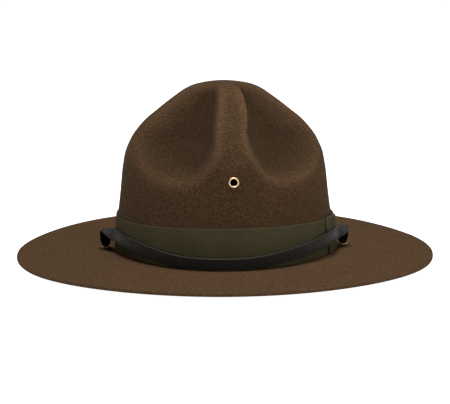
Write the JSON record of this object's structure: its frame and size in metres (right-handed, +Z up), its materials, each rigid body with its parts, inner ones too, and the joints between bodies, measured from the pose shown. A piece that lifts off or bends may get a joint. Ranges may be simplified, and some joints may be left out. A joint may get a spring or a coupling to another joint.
{
  "type": "campaign hat",
  "caption": "Felt campaign hat with a peaked, dented crown, a wide flat brim, a ribbon band with a flat bow, a leather chin strap and brass eyelets.",
  "frame": {"origin": "the middle of the hat's plan, on the surface that the brim rests on", "axes": "+Z up through the peak, +Y towards the back of the hat, +X towards the wearer's left, where the bow is"},
  "size_m": [0.33, 0.362, 0.1374],
  "materials": {
    "felt": "matt brown fur felt with a fine short nap",
    "ribbon": "dark olive grosgrain ribbon with fine upright ribs",
    "leather": "smooth black leather with a soft sheen and a crease along each edge",
    "brass": "bright stamped brass"
  },
  "bodies": {
    "root": {"felt_body": "felt", "hat_band": "ribbon", "bow_front_loop": "ribbon", "bow_rear_loop": "ribbon", "bow_knot": "ribbon", "chin_strap": "leather", "strap_slide": "brass", "crown_eyelet": "brass", "brim_eyelet_left": "brass", "brim_eyelet_right": "brass"}
  },
  "joints": []
}
